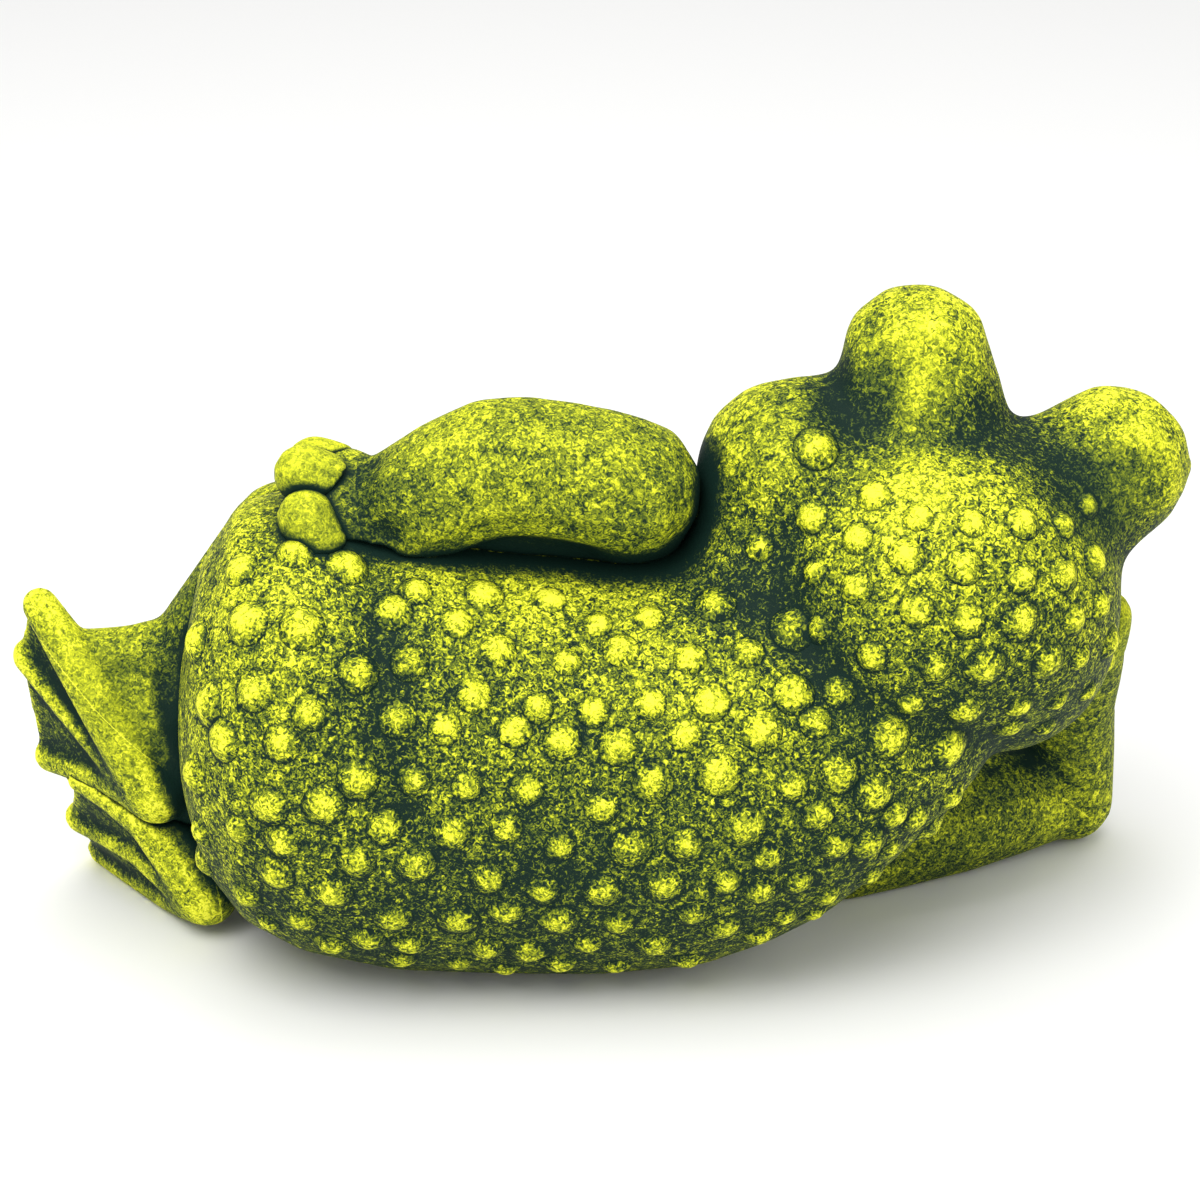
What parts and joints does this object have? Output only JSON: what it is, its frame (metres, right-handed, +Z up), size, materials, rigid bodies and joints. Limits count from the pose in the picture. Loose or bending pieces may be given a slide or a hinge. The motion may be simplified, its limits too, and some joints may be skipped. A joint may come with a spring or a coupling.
{
  "type": "reclining frog figurine",
  "caption": "Hollow cast ceramic frog lying on its side, head propped on one hand, the other hand on its hip, warty back, webbed feet stacked behind",
  "frame": {"origin": "on the flat resting face under the trunk, at the middle of the vent hole and of the trunk's length and depth", "axes": "+X towards the head, +Y towards the belly and face, +Z up; the frog's left side is up and its back faces -Y"},
  "size_m": [0.3072, 0.1441, 0.1765],
  "materials": {
    "skin": "matte",
    "warts": "matte",
    "limbs": "matte",
    "fingers": "matte",
    "feet": "matte",
    "lips": "matte",
    "eyes": "matte"
  },
  "bodies": {
    "root": {"trunk": "skin", "head": "skin", "back_warts": "warts", "head_warts": "warts", "left_eye": "eyes", "right_eye": "eyes", "lips": "lips", "left_arm": "limbs", "left_hand": "limbs", "right_upper_arm": "limbs", "right_forearm": "limbs", "right_hand": "limbs", "left_finger_1": "fingers", "left_finger_2": "fingers", "left_finger_3": "fingers", "left_finger_4": "fingers", "right_finger_1": "fingers", "right_finger_2": "fingers", "right_finger_3": "fingers", "right_finger_4": "fingers", "left_thigh": "limbs", "left_shin": "limbs", "left_foot": "feet", "right_thigh": "limbs", "right_shin": "limbs", "right_foot": "feet"}
  },
  "joints": []
}
